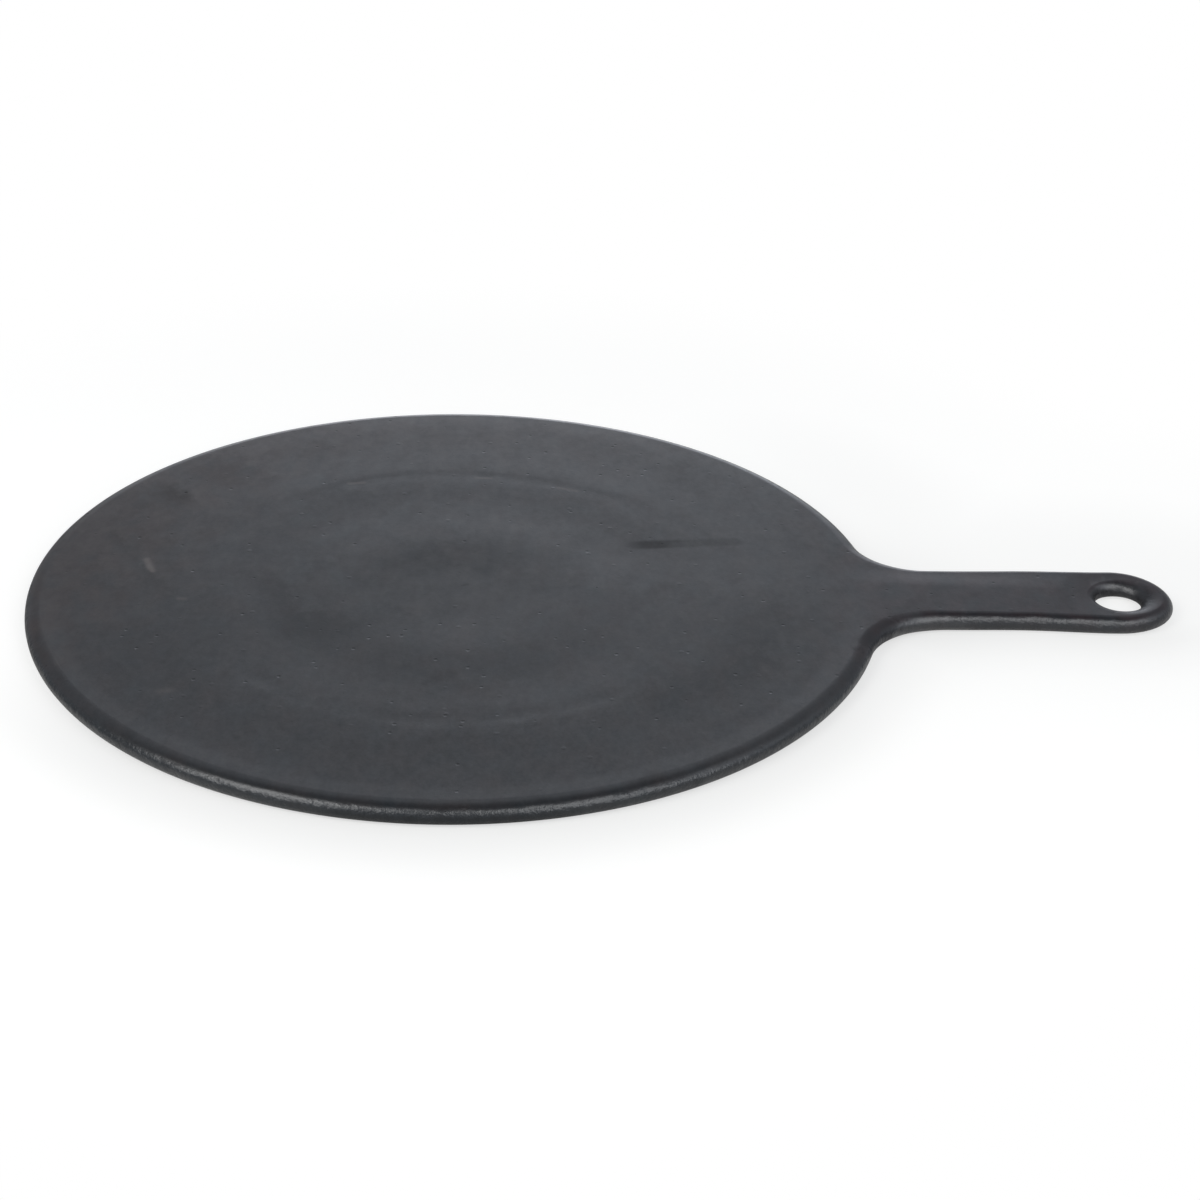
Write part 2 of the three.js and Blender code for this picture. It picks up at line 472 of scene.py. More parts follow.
# %% The throwing rings
# Each ring: how far its centre lies off the plate's along Y, the radii between which the face
# rises, and how much it rises there.
WELL_WALL = (-10, 15, 44, 0.4)
CREST_TO_VALLEY = (-8.5, 44, 69, -0.22)
VALLEY_TO_GROOVE = (-4.5, 68, 88, 0.14)
GROOVE = (-5.2, 88.3, 93.3, -0.045)
STEP = (-5.2, 94.3, 99.3, 0.078)
BAND_FALL = (-4.5, 101, 126, -0.12)


def ring(points, centre_y, start, end, height):
    """Height of one throwing ring, which rises between two radii, counted from outside it."""
    radius = np.linalg.norm(points - (0, centre_y), axis=-1)
    return height * (eased(radius, start, end) - 1)


def throwing_rings(points):
    """Height that the rings leave, each with its own centre, as the clay ran on the wheel.

    The groove and the step wobble. They are deepest on the near side, come and go along their
    length, and fade out to the left and the right.
    """
    y = points[:, 1]
    from_middle = np.linalg.norm(points, axis=-1)
    bearing = np.arctan2(y, points[:, 0])
    wobble = 1 + 0.006 * np.sin(5 * bearing + 1) + 0.004 * np.sin(13 * bearing)
    uneven = points * wobble[:, None]
    broken = 0.75 + 0.25 * np.sin(17 * bearing + 2 * np.sin(5 * bearing))
    broken = broken * eased(np.abs(y) / np.maximum(from_middle, 1), 0.55, 0.85)
    broken = broken * (1 + 0.55 * eased(-y, 0, 30)) * eased(from_middle, 0, 60)
    fine = (ring(uneven, *GROOVE) + ring(uneven, *STEP)) * broken
    broad = ring(points, *WELL_WALL) + ring(points, *CREST_TO_VALLEY) + ring(points, *VALLEY_TO_GROOVE)
    return broad + fine + ring(points, *BAND_FALL) + BAND_FALL[3]


rings = throwing_rings(plan)
print("rings run from", round(float(rings.min()), 3), "to", round(float(rings.max()), 3), "mm")

# %% The relief of the whole face
NEAR_LEAN = 0.1
FAR_LEAN = 0.18
STRAP_THINNING = 0.55
STRAP_FALL = 0.4
HOLE_DISH = 0.3


def rim_lean(points):
    """How the rim leans away from the viewer: up on the near side and down on the far side."""
    x, y = points[:, 0], points[:, 1]
    lean = -y / RIM_RADIUS * np.where(y > 0, FAR_LEAN, NEAR_LEAN)
    return lean * eased(np.hypot(x, y), 134, 152) * (1 - eased(x, 130, 150))


def strap_hollows(points):
    """How far the strap lies below the level band.

    It thins out towards its end and falls off along its far side, and the finger that opened the
    hole left a faint dish round it.
    """
    x, y = points[:, 0], points[:, 1]
    thinning = STRAP_THINNING * eased(x, 165, 200)
    fall = STRAP_FALL * eased(y, 3, 17) * eased(x, 140, 165) * (1 - eased(x, 195, 240))
    dish = HOLE_DISH * (1 - eased(from_hole(points)[0], 2, 14))
    return thinning + fall + dish


def relief(points):
    """Height of the cooking face above its level band, in mm."""
    return throwing_rings(points) + rim_lean(points) - strap_hollows(points)


face = relief(plan)
print("relief runs from", round(float(face.min()), 3), "to", round(float(face.max()), 3), "mm")

# %% Heights and normals
NUDGE = 0.05  # step over which the relief's slope is measured


def lift(points, edge_round, lip):
    """Share of the full height at each plan point, and the level part of the face's normal.

    The share is a quarter of an ellipse over the distance to the edge, times another over the
    distance to the hole. The normal leans out by what is left of each, over its width.
    """
    inward, outward = from_edge(points)
    from_throat, to_middle = from_hole(points)
    left_of_edge = np.clip(1 - inward / edge_round, 0, 1)
    left_of_lip = np.clip(1 - from_throat / lip, 0, 1)
    share = np.sqrt(1 - left_of_edge**2) * np.sqrt(1 - left_of_lip**2)
    share[(inward < SAME) | (from_throat < SAME)] = 0
    lean = outward * (left_of_edge / edge_round)[:, None] + to_middle * (left_of_lip / lip)[:, None]
    return share, lean


def upper_surface(points):
    """Vertices and normals of the cooking face, with its relief fading out over the edges."""
    share, lean = lift(points, upper_round(points), hole_lip(from_hole(points)[1]))
    widest = widest_height(points)
    height = widest + (THICKNESS - widest + relief(points)) * share
    upright = share / (THICKNESS - widest)
    slopes = [
        (relief(points + step) - relief(points - step)) / (2 * NUDGE)
        for step in (np.array([NUDGE, 0]), np.array([0, NUDGE]))
    ]
    lean = lean - np.stack(slopes, -1) * (upright * share)[:, None]
    return points_and_normals(points, height, lean, upright)


def under_surface(points):
    """Vertices and normals of the underside, which is flat inside its rounded edge."""
    share, lean = lift(points, UNDER_ROUND, UNDER_LIP)
    widest = widest_height(points)
    return points_and_normals(points, widest * (1 - share), lean, -share / widest)


def points_and_normals(points, height, lean, upright):
    """Points in space, with the strap's sway, and unit normals from their level and upright parts."""
    normal = np.concatenate([lean, upright[:, None]], -1)
    normal /= np.linalg.norm(normal, axis=-1, keepdims=True)
    return np.stack([points[:, 0], points[:, 1] + sway(points[:, 0]), height], -1), normal


top = upper_surface(plan)[0][:, 2]
print("the upper side lies", round(float(top.min()), 2), "to", round(float(top.max()), 2), "mm up")

# %% [markdown]
# ## Two closed pieces from one net
#
# Plate and handle are each a solid lump of clay. Each piece takes its own triangles, once for the
# cooking face and once, turned over, for the underside. Both share the points on the edge and
# round the hole's throat. A wall closes the piece at the seam. Blender could work the normals out
# from the facets, but each piece would then round off at the seam on its own. They come from the
# formulas, so that light runs over the seam without a mark, as where a joint was worked over.

# %% The wall at the seam
def seam_wall(local, points, below):
    """Triangles from the cooking face down to the underside, along the edges cut at the seam.

    Such an edge runs one way only among the chosen triangles. Where the wall's upper and lower
    points are the same, at the outline, its triangles have no area and are left out.
    """
    count = len(points)
    start, end = local.ravel(), np.roll(local, -1, axis=1).ravel()
    open_edge = ~np.isin(start * count + end, end * count + start)
    at_seam = np.abs(points[:, 0] - SEAM_X) < SAME
    cut = open_edge & at_seam[start] & at_seam[end]
    a, b = start[cut], end[cut]
    wall = np.concatenate([np.c_[b, a, below[a]], np.c_[b, below[a], below[b]]])
    first, second, third = wall.T
    return wall[(first != third) & (second != third) & (first != second)]


print("the wall stands on", len(seam_run) - 1, "edges of the net")

# %% A closed piece
def clay_piece(name, chosen, wall_facing):
    """A closed mesh of the chosen triangles, with a wall across the seam facing along X.

    The points on the edge keep one vertex, and each other point gets a second one below it. A
    closed lump has the Euler number 2, and one with a hole through it has 0.
    """
    used, local = np.unique(chosen, return_inverse=True)
    local = local.reshape(chosen.shape)
    points = plan[used]
    on_edge = lift(points, UNDER_ROUND, UNDER_LIP)[0] == 0
    upper, upper_normal = upper_surface(points)
    lower, lower_normal = under_surface(points[~on_edge])
    below = np.arange(len(used))
    below[~on_edge] = len(used) + np.arange(len(lower))

    wall = seam_wall(local, points, below)
    vertices = np.concatenate([upper, lower])
    normals = np.concatenate([upper_normal, lower_normal])
    faces = np.concatenate([local, below[local][:, ::-1], wall])
    corner_normals = normals[faces]
    corner_normals[len(faces) - len(wall) :] = (wall_facing, 0, 0)

    mesh = bpy.data.meshes.new(name)
    mesh.from_pydata((vertices * MM).tolist(), [], faces.tolist())
    mesh.shade_smooth()
    mesh.normals_split_custom_set(corner_normals.reshape(-1, 3).tolist())
    piece = bpy.data.objects.new(name, mesh)
    bpy.context.scene.collection.objects.link(piece)
    euler = len(mesh.vertices) - len(mesh.edges) + len(mesh.polygons)
    print(name, "has", len(faces), "triangles and Euler number", euler)
    return piece


# %% The plate and the handle
side_of_seam = plan[triangles].mean(1)[:, 0]
plate = clay_piece("thrown_plate", triangles[side_of_seam < SEAM_X], 1)
strap = clay_piece("strap_handle", triangles[side_of_seam > SEAM_X], -1)
for piece, node in ((plate, "griddle_plate"), (strap, "handle")):
    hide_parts(node)
    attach(piece, "root")

# %% [markdown]
# ## Writing a finish as formulas
#
# A finish could be wired up link by link, but it is easier to read as arithmetic. The class below
# wraps a socket that carries a number, and its operators add Math nodes. Every other node comes
# from one function that takes the node's type, its settings and what goes into its sockets.

# %% A number that varies over a surface
class Field:
    """A number that varies over a surface, ready for arithmetic."""

    def __init__(self, tree, socket):
        self.tree = tree
        self.socket = socket

    def math(self, operation, *others, clamp=False):
        """A Math node on this number and the others."""
        settings = {"operation": operation, "use_clamp": clamp}
        values = dict(enumerate([self, *others]))
        return field(add_node(self.tree, "ShaderNodeMath", settings, values))

    def __add__(self, other):
        return self.math("ADD", other)

    __radd__ = __add__

    def __mul__(self, other):
        return self.math("MULTIPLY", other)

    __rmul__ = __mul__

    def __sub__(self, other):
        return self.math("SUBTRACT", other)

    def __rsub__(self, other):
        return (self * -1) + other

    def __truediv__(self, other):
        return self.math("DIVIDE", other)

    def __pow__(self, other):
        return self.math("POWER", other)

    def clamped(self):
        """The number, cut off below 0 and above 1."""
        return self.math("ADD", 0, clamp=True)

    def eased(self, low, high):
        """0 where the number is low and 1 where it is high, with a smooth slope between."""
        settings = {"interpolation_type": "SMOOTHSTEP"}
        values = {"Value": self, "From Min": low, "From Max": high}
        return field(add_node(self.tree, "ShaderNodeMapRange", settings, values))

    def near(self, middle, inner, outer):
        """1 where the number is within inner of the middle, and 0 where it is outer away."""
        return 1 - (self - middle).math("ABSOLUTE").eased(inner, outer)


def field(node, output=0):
    """One output of a node, ready for arithmetic."""
    return Field(node.id_data, node.outputs[output])


def length(across, along):
    """Length of a level arrow: the root of the sum of its two parts squared."""
    return (across * across + along * along) ** 0.5


# %% Nodes, materials and colours
def add_node(tree, kind, settings=None, values=None):
    """Adds a node, applies its settings, then sets or links its input sockets by name or place."""
    node = tree.nodes.new(kind)
    for key, value in (settings or {}).items():
        setattr(node, key, value)
    for key, value in (values or {}).items():
        if isinstance(value, Field):
            tree.links.new(value.socket, node.inputs[key])
        elif isinstance(value, bpy.types.NodeSocket):
            tree.links.new(value, node.inputs[key])
        else:
            node.inputs[key].default_value = value
    return node


def new_material(name):
    """An empty node material and its tree."""
    material = bpy.data.materials.new(name)
    material.use_nodes = True
    material.node_tree.nodes.clear()
    return material, material.node_tree


def mixed(tree, share, first, second):
    """A colour between two colours, by a share from 0 to 1."""
    values = {"Factor": share, 6: first, 7: second}
    return add_node(tree, "ShaderNodeMix", {"data_type": "RGBA"}, values).outputs[2]


def tinted(tree, colour, tint):
    """A colour times a tint."""
    values = {"Factor": 1.0, 6: colour, 7: tint}
    settings = {"data_type": "RGBA", "blend_type": "MULTIPLY"}
    return add_node(tree, "ShaderNodeMix", settings, values).outputs[2]


# %% Places and patterns, in millimetres
def plan_position(tree):
    """Object coordinates in millimetres, as a vector socket and as three numbers."""
    coordinates = add_node(tree, "ShaderNodeTexCoord").outputs["Object"]
    values = {0: coordinates, "Scale": 1 / MM}
    scaled = add_node(tree, "ShaderNodeVectorMath", {"operation": "SCALE"}, values).outputs[0]
    parts = add_node(tree, "ShaderNodeSeparateXYZ", None, {0: scaled})
    return scaled, [field(parts, i) for i in range(3)]


def noise(tree, position, size, detail=3, roughness=0.5, stretch=(1, 1, 1)):
    """Soft noise from -0.5 to 0.5, whose patches are about size millimetres across."""
    scale = [1 / (size * part) for part in stretch]
    moved = add_node(tree, "ShaderNodeMapping", None, {0: position, "Scale": scale}).outputs[0]
    values = {"Vector": moved, "Scale": 1.0, "Detail": detail, "Roughness": roughness}
    return field(add_node(tree, "ShaderNodeTexNoise", None, values)) - 0.5


def pits(tree, position, size, radius, share):
    """1 inside small round pits: in a share of the cells of a grain, about size apart."""
    moved = add_node(tree, "ShaderNodeMapping", None, {0: position, "Scale": [1 / size] * 3}).outputs[0]
    cells = add_node(tree, "ShaderNodeTexVoronoi", None, {"Vector": moved, "Scale": 1.0})
    chance = field(add_node(tree, "ShaderNodeSeparateColor", None, {0: cells.outputs["Color"]}))
    edge = radius / size
    inside = 1 - field(cells).eased(edge * 0.4, edge * 1.3)
    return inside * (1 - chance.eased(share, share + 0.02))


def stroke(x, y, start, end, half_width, softness):
    """1 along a straight stroke between two plan points, fading out beyond its half width."""
    dx, dy = end[0] - start[0], end[1] - start[1]
    along = (((x - start[0]) * dx + (y - start[1]) * dy) / (dx * dx + dy * dy)).clamped()
    distance = length(x - start[0] - along * dx, y - start[1] - along * dy)
    return 1 - distance.eased(half_width - softness, half_width + softness)


# %% [markdown]
# ## Burnished black clay
#
# Smoke-fired clay is charcoal right through, and the fire leaves it now a little cooler and now a
# little warmer, towards plum on the handle. Rubbing it with a stone lays the grains flat, which
# gives a satin gloss. A picture of such clay could be laid over the mesh, but it would bring its
# own light along. Here every pattern is worked out from a point's place, so it is the same from
# every side. The gloss is a thin coat over the clay, and its weight carries most of what the eye
# sees: clouds and patches where the stone pressed more or less, a fine grain, and pits where a
# grain of sand came out. The marks of use are placed one by one: a dull smear, a scuff with a
# pale nick, a smudge, a hairline and a few pale spots along the throwing ring. The underside is
# rougher, with a coat of soot from the fire.

# %% Where a point lies
WHEEL_Y = -4.5  # middle of the throwing rings


def clay_places(x, y, z):
    """A point's place and distances, and numbers from 0 to 1 for the parts that differ."""
    at = SimpleNamespace(x=x, y=y)
    at.radius = length(x, y - WHEEL_Y)
    at.from_rim = RIM_RADIUS - length(x, y)
    at.strap = x.eased(118, 160)
    at.plate = 1 - at.strap
    at.left = 1 - (x - y * 0.4).eased(-150, -80)
    at.near_half = 1 - y.eased(-60, 10)
    at.worn_middle = 1 - at.radius.eased(18, 44)
    at.rubbed_rim = at.from_rim.near(0, 1, 7) * at.plate
    at.lip = 1 - (length(x - HOLE_X, y - HOLE_Y) - HOLE_RADIUS).eased(1, 8)
    at.nose = 1 - z.eased(5.4, 6.6)
    at.underside = 1 - z.eased(0.1, 1.6)
    return at


clay, clay_tree = new_material("burnished_black_clay")
position, (x, y, z) = plan_position(clay_tree)
at = clay_places(x, y, z)
print("places and distances:", ", ".join(vars(at)))

# %% The patterns that cross it
def clay_patterns(tree, position, at):
    """The noises and pits that colour, gloss and relief share.

    The streaks run round the wheel on the plate and lengthwise on the strap.
    """
    values = {0: at.radius / 2.4, 1: at.x / at.radius * 3, 2: at.y / at.radius * 3}
    round_the_wheel = add_node(tree, "ShaderNodeCombineXYZ", None, values).outputs[0]
    wheel = noise(tree, round_the_wheel, 1, roughness=0.6) * at.plate * at.radius.eased(6, 26)
    along_strap = noise(tree, position, 1.8, roughness=0.6, stretch=(9, 1, 1)) * at.strap
    return SimpleNamespace(
        clouds=noise(tree, position, 30, stretch=(1.1, 1.5, 1)),
        hue=noise(tree, position, 9, stretch=(1, 1.6, 1)),
        patches=noise(tree, position, 8, detail=4, roughness=0.6, stretch=(1, 1.6, 1)),
        mottle=noise(tree, position, 2.6, roughness=0.6, stretch=(1, 1.7, 1)),
        grain=noise(tree, position, 1.1, detail=2, roughness=0.6, stretch=(1, 1.4, 1)),
        streaks=wheel + along_strap,
        pimples=pits(tree, position, size=7.9, radius=0.9, share=0.35),
        sand=pits(tree, position, size=5.7, radius=0.7, share=0.4),
        dots=pits(tree, position, size=2.1, radius=0.28, share=0.25),
    )


pattern = clay_patterns(clay_tree, position, at)
print("patterns:", ", ".join(vars(pattern)))

# %% Clouds of the burnish
# Where the stone pressed more or less: the start and the end of a stroke, its half width and its
# softness in mm, and how much brighter it makes the gloss, in steps of brightness.
CLOUDS = (
    ((58, 10), (116, 10), 12, 9, 5),
    ((8, 15), (24, 14), 6, 7, 3),
    ((-22, 16), (2, 22), 7, 8, -3),
    ((-62, -78), (-30, -86), 9, 9, 3),
    ((28, -84), (52, -68), 9, 9, 3),
    ((-94, 52), (-88, 50), 4, 6, 3),
    ((-66, -6), (-54, -36), 6, 6, -7),
    ((-50, -38), (-22, -31), 7, 7, -7),
    ((-6, -76), (12, -76), 5, 6, -5),
    ((74, -82), (102, -60), 9, 7, -8),
    ((30, -110), (70, -94), 8, 7, -2),
    ((102, -46), (112, -20), 9, 9, -4.5),
    ((-96, 90), (-88, 84), 11, 8, -7),
    ((-120, 64), (-118, 26), 9, 9, -4),
    ((-132, -10), (-108, -12), 3, 4, -3),
    ((-58, 62), (-42, 67), 7, 7, -4),
    ((-28, -117), (46, -113), 8, 7, -2.5),
    ((160, -23.5), (180, -19.5), 3, 2.5, 22),
    ((40, 110), (52, 118), 8, 9, -2.5),
    ((147, -40), (156, -26.5), 4.5, 3, -27),
    ((72, 68), (84, 94), 7, 7, -4),
    ((-128, -32), (-110, -30), 7, 6, 3),
    ((-74, -58), (-48, -62), 6, 6, 3),
    ((-82, -116), (-50, -131), 6, 6, 4),
    ((57, -142), (80, -130), 4, 4, -8),
    ((249, -10), (252, 3), 3, 3, -14),
    ((234, 9.5), (246, 8.5), 2.5, 2.5, 22),
)


def burnish_clouds(x, y, ragged):
    """How much more or less the stone polished each place, in steps of brightness."""
    ragged_x, ragged_y = x + ragged * 18, y + ragged * 26
    clouds = 0
    for start, end, half_width, softness, strength in CLOUDS:
        clouds = clouds + stroke(ragged_x, ragged_y, start, end, half_width, softness) * strength
    return clouds


clouds = burnish_clouds(x, y, pattern.patches)
print(len(CLOUDS), "clouds in the burnish")

# %% Marks of making and use
def dull_marks(x, y, ragged):
    """How dull the gloss is, from 0 to 1 at the heart of the dullest mark."""
    smear = stroke(x + ragged * 3, y + ragged * 2, (65, 30.5), (102, 35), 3.2, 1.5)
    smear = smear * (0.4 + 0.6 * x.eased(62, 70)) * (1 - 0.52 * x.eased(73, 83))
    scuff = stroke(x + ragged * 8, y + ragged * 8, (-128, 30), (-101, -17), 2.6, 3) * 0.4
    smudge = stroke(x + ragged * 16, y + ragged * 16, (-113, 68), (-109, 61), 5, 6) * 0.6
    hairline = stroke(x + ragged * 5, y, (-4.4, -112), (14, -134), 1.5, 1.6) * 0.38
    speck = stroke(x, y, (2.5, -4), (4, -3), 0.7, 0.6) * 0.4
    return smear + scuff + smudge + hairline + speck


def pale_marks(x, y, ragged):
    """How much pale clay shows, from 0 to 1: most of all at the nick in the scuff."""
    wobble = x + ragged * 2
    nick = stroke(wobble, y + ragged * 2, (-113, 11), (-109.5, 2), 1.1, 1.0) * 0.7
    left_spot = stroke(wobble, y, (-97, -19), (-95, -19), 0.8, 1.2) * 0.5
    front_spot = stroke(wobble, y, (-93, -84), (-91, -83.5), 1.4, 2.2) * 0.3
    ring_spots = stroke(wobble, y, (-45, 79), (-40, 80), 0.8, 1) * 0.55
    ring_spots = ring_spots + stroke(wobble, y, (4, 86.5), (9, 86.5), 0.7, 0.9) * 0.5
    ring_spots = ring_spots + stroke(wobble, y, (36, 79), (43, 76.5), 0.8, 1) * 0.45
    return nick + left_spot + front_spot + ring_spots


dull = dull_marks(x, y, pattern.patches)
pale = pale_marks(x, y, pattern.patches)
print("places, patterns, clouds and marks take", len(clay_tree.nodes), "nodes")

# %% The colour of the clay
DEEP_BLACK = (0.006, 0.0062, 0.0069, 1)
WORN_BLACK = (0.0132, 0.0136, 0.0148, 1)
PALE_CLAY = (0.085, 0.072, 0.066, 1)
COOL_TINT = (0.7, 1.0, 1.15, 1)
WARM_TINT = (1.7, 1.06, 0.86, 1)
PLUM_TINT = (1.7, 1.0, 1.08, 1)
SOOT = (0.009, 0.0088, 0.0085, 1)


def clay_colour(tree, at, pattern, dull, pale):
    """Charcoal between two blacks, tinted cool or warm, with the pale marks and the soot."""
    tone = 0.5 + pattern.clouds * 0.7 + pattern.patches * 0.7 + pattern.mottle * 0.6
    tone = tone + pattern.grain * 0.5 + pattern.streaks * 0.25
    tone = tone - dull * 0.9 - at.worn_middle * 0.3 + at.rubbed_rim * 0.25
    tone = tone - pattern.sand * 0.5 - pattern.dots * 0.3
    black = mixed(tree, tone.clamped(), DEEP_BLACK, WORN_BLACK)

    spotty = (at.left + at.strap).clamped()
    warmth = 0.36 + pattern.hue * (1.0 + 1.6 * spotty) + at.strap * 0.3 + at.left * 0.65
    warmth = warmth + at.x.eased(236, 252) * 0.1 + at.y.eased(85, 135) * 0.35
    warmth = warmth * (1 - 0.6 * at.nose)
    warm_tint = mixed(tree, at.strap, WARM_TINT, PLUM_TINT)
    tint = mixed(tree, warmth.clamped(), COOL_TINT, warm_tint)

    clay = mixed(tree, pale.clamped(), tinted(tree, black, tint), PALE_CLAY)
    return mixed(tree, at.underside, clay, SOOT)


colour = clay_colour(clay_tree, at, pattern, dull, pale)
print("with its colour the clay has", len(clay_tree.nodes), "nodes")

# %% The roughness and the gloss
COAT_BASE = 0.16  # weight of the gloss where nothing adds to it or takes from it
COAT_PER_STEP = 0.023  # weight that makes the face about one step of 255 brighter
INNER_RING = 88  # radii of the two glossier ledges
OUTER_RING = 104


def clay_roughness(at, pattern, dull):
    """Roughness of the clay itself: smoother in its clouds, rougher in marks, pits and lip."""
    rough = 0.33 - pattern.clouds * 0.1 - pattern.patches * 0.1 + pattern.grain * 0.08
    rough = rough + dull * 0.3 + pattern.sand * 0.15
    rough = rough + at.worn_middle * 0.03 - at.rubbed_rim * 0.02 + at.underside * 0.28
    return rough + at.lip * (0.06 + 0.16 * at.x.eased(242, 250))


def clay_coat(at, pattern, clouds):
    """Weight of the gloss, from how many steps brighter each place is than the plain clay.

    The near rim, the two ledges and the handle's nose are glossier, and the grain stands out
    most on the near half of the plate.
    """
    polish = clouds + 1
    polish = polish + 4 * (1 - at.from_rim.eased(6, 15)) * at.near_half * at.plate
    polish = polish + 7 * at.from_rim.near(8, 2, 6) * at.near_half
    polish = polish + 3 * at.radius.near(INNER_RING, 3, 9) * (1 - at.y.eased(-80, -30))
    polish = polish + 3 * at.radius.near(OUTER_RING, 3, 9) * at.y.eased(40, 80)
    polish = polish + 2 * (1 - at.y.eased(-90, -45)) * at.plate
    polish = polish + at.nose * (at.strap * 14 - at.left * 5)

    grainy = 1 + 0.6 * (1 - at.y.eased(-110, -40)) * at.plate
    polish = polish + pattern.clouds * 5 + pattern.patches * 17
    polish = polish + (pattern.mottle * 12 + pattern.grain * 8) * grainy
    polish = polish - pattern.sand * 3 - pattern.dots * (2 + 5 * (1 - at.y.eased(-60, 20)))
    return (COAT_BASE + polish * COAT_PER_STEP).clamped() * (1 - at.underside)


roughness = clay_roughness(at, pattern, dull)
coat = clay_coat(at, pattern, clouds)
print("with its gloss it has", len(clay_tree.nodes), "nodes")

# %% The fine relief
def clay_height(at, pattern, dull):
    """Fine relief in mm, more uneven on the round nose of the edge than on the face."""
    height = pattern.clouds * 0.35 + pattern.patches * 0.05 + pattern.mottle * 0.014
    height = height + pattern.grain * (0.016 + 0.04 * at.underside)
    height = height + pattern.streaks * 0.012 + pattern.pimples * 0.045
    height = height - pattern.sand * 0.075 - pattern.dots * 0.012 - dull * 0.015
    uneven = pattern.patches * 0.8 + pattern.mottle * 0.36 + pattern.grain * 0.16
    return height + at.nose * uneven


height = clay_height(at, pattern, dull)
bump = add_node(clay_tree, "ShaderNodeBump", None, {"Strength": 1.0, "Distance": MM, "Height": height})
print("with its relief it has", len(clay_tree.nodes), "nodes")

# %% The finish on both pieces
values = {
    "Base Color": colour,
    "Roughness": roughness,
    "IOR": 1.55,
    "Coat Weight": coat,
    "Coat Roughness": 0.33,
    "Normal": bump.outputs[0],
}
shader = add_node(clay_tree, "ShaderNodeBsdfPrincipled", None, values)
add_node(clay_tree, "ShaderNodeOutputMaterial", None, {0: shader.outputs[0]})
for piece in (plate, strap):
    piece.data.materials.append(clay)
print("the finish has", len(clay_tree.nodes), "nodes")

# %% [markdown]
# ## The white table
#
# The griddle lies on white paper. Plain paper would need so much light to look white that the clay
# would turn pale. So it glows a little for the camera alone, as a sheet on a light table does. The
# lamps draw the griddle's shadow on it, and a painted shadow dims the glow towards the viewer, in
# the hollow corners and round the handle. What the griddle reflects is paper of an ordinary kind,
# with painted shade beyond both ends and close in front of the griddle.

# %% The paper that the griddle reflects
LIT_PAPER = (0.7, 0.69, 0.67, 1)
PAINTED_SHADE_PAPER = (0.15, 0.15, 0.15, 1)


def reflected_paper(tree, x, y):
    """Paper as the griddle reflects it, with painted shade: darker beyond both ends and close in front of
    it.
    """
    # Painted shade on the reflected paper: dark beyond both ends, and partly dark close in front of the
    # griddle.
    beyond_ends = (x - 90).math("ABSOLUTE").eased(190, 310)
    in_front = 0.55 * x.near(5, 15, 75) * (1 - y.eased(-60, 0))
    painted_shade = beyond_ends.math("MAXIMUM", in_front)
    colour = mixed(tree, painted_shade, LIT_PAPER, PAINTED_SHADE_PAPER)
    return add_node(tree, "ShaderNodeBsdfDiffuse", None, {"Color": colour}).outputs[0]


paper, paper_tree = new_material("white_table")
_, (paper_x, paper_y, _) = plan_position(paper_tree)
reflected = reflected_paper(paper_tree, paper_x, paper_y)
print("the reflected paper takes", len(paper_tree.nodes), "nodes")

# %% The paper that the camera sees
STRAP_HALF = 19
WHITE = (1, 1, 1, 1)
LAMPLIT = (0.32, 0.32, 0.32 * 0.96, 1)
GLOW = 0.745
SHADE_SIDE = (0.1, -0.99)  # the way from the plate's middle to its darkest shadow


def seen_paper(tree, x, y):
    """Paper as the camera sees it: lamplight, a glow from below, and plain white far away.

    A painted shadow dims the glow close to the side that faces the viewer, where the griddle stands
    between the table and the pale wall, and in the two hollow corners. Round the handle and close to
    the griddle all round it dims the glow a little too, and it lightens the glow a little towards the
    back.
    """
    from_plate = length(x, y) - RIM_RADIUS
    on_middle_line = x.math("MAXIMUM", 0).math("MINIMUM", TIP_X - STRAP_HALF)
    from_handle = length(x - on_middle_line, y) - STRAP_HALF
    distance = from_plate.math("MINIMUM", from_handle)

    facing_plate = ((x * SHADE_SIDE[0] + y * SHADE_SIDE[1]) / RIM_RADIUS).eased(0.1, 0.75)
    facing_strap = x.eased(130, 170) * (1 - y.eased(-22, 0)) * (1 - from_handle.eased(0, 50)) * 0.8
    facing = facing_plate.math("MAXIMUM", facing_strap)
    # Painted shadow in the glow, for the camera alone: towards the viewer, in the corners, near the griddle
    # and round the handle.
    painted_shadow = facing * (1 - distance.eased(0, 34)) * 0.16
    painted_shadow = painted_shadow + (1 - from_plate.eased(0, 60)) * (1 - from_handle.eased(0, 60)) * 0.07
    painted_shadow = painted_shadow + (1 - distance.eased(10, 140)) * 0.02
    painted_shadow = painted_shadow + (1 - facing) * x.eased(60, 180) * (1 - distance.eased(20, 110)) * 0.06
    painted_shadow = painted_shadow - y * 0.00015

    # The glow less the painted shadow, which takes a tenth more of the blue.
    dimmed = mixed(tree, painted_shadow, (GLOW, GLOW, GLOW, 1), (GLOW - 1, GLOW - 1, GLOW - 1.1, 1))
    glow = add_node(tree, "ShaderNodeEmission", None, {"Color": dimmed}).outputs[0]
    sheet = add_node(tree, "ShaderNodeBsdfDiffuse", None, {"Color": LAMPLIT}).outputs[0]
    close = add_node(tree, "ShaderNodeAddShader", None, {0: sheet, 1: glow}).outputs[0]
    far = add_node(tree, "ShaderNodeEmission", None, {"Color": WHITE, "Strength": 1.0}).outputs[0]
    values = {0: distance.eased(40, 180), 1: close, 2: far}
    return add_node(tree, "ShaderNodeMixShader", None, values).outputs[0]


seen = seen_paper(paper_tree, paper_x, paper_y)
print("with the seen one it has", len(paper_tree.nodes), "nodes")

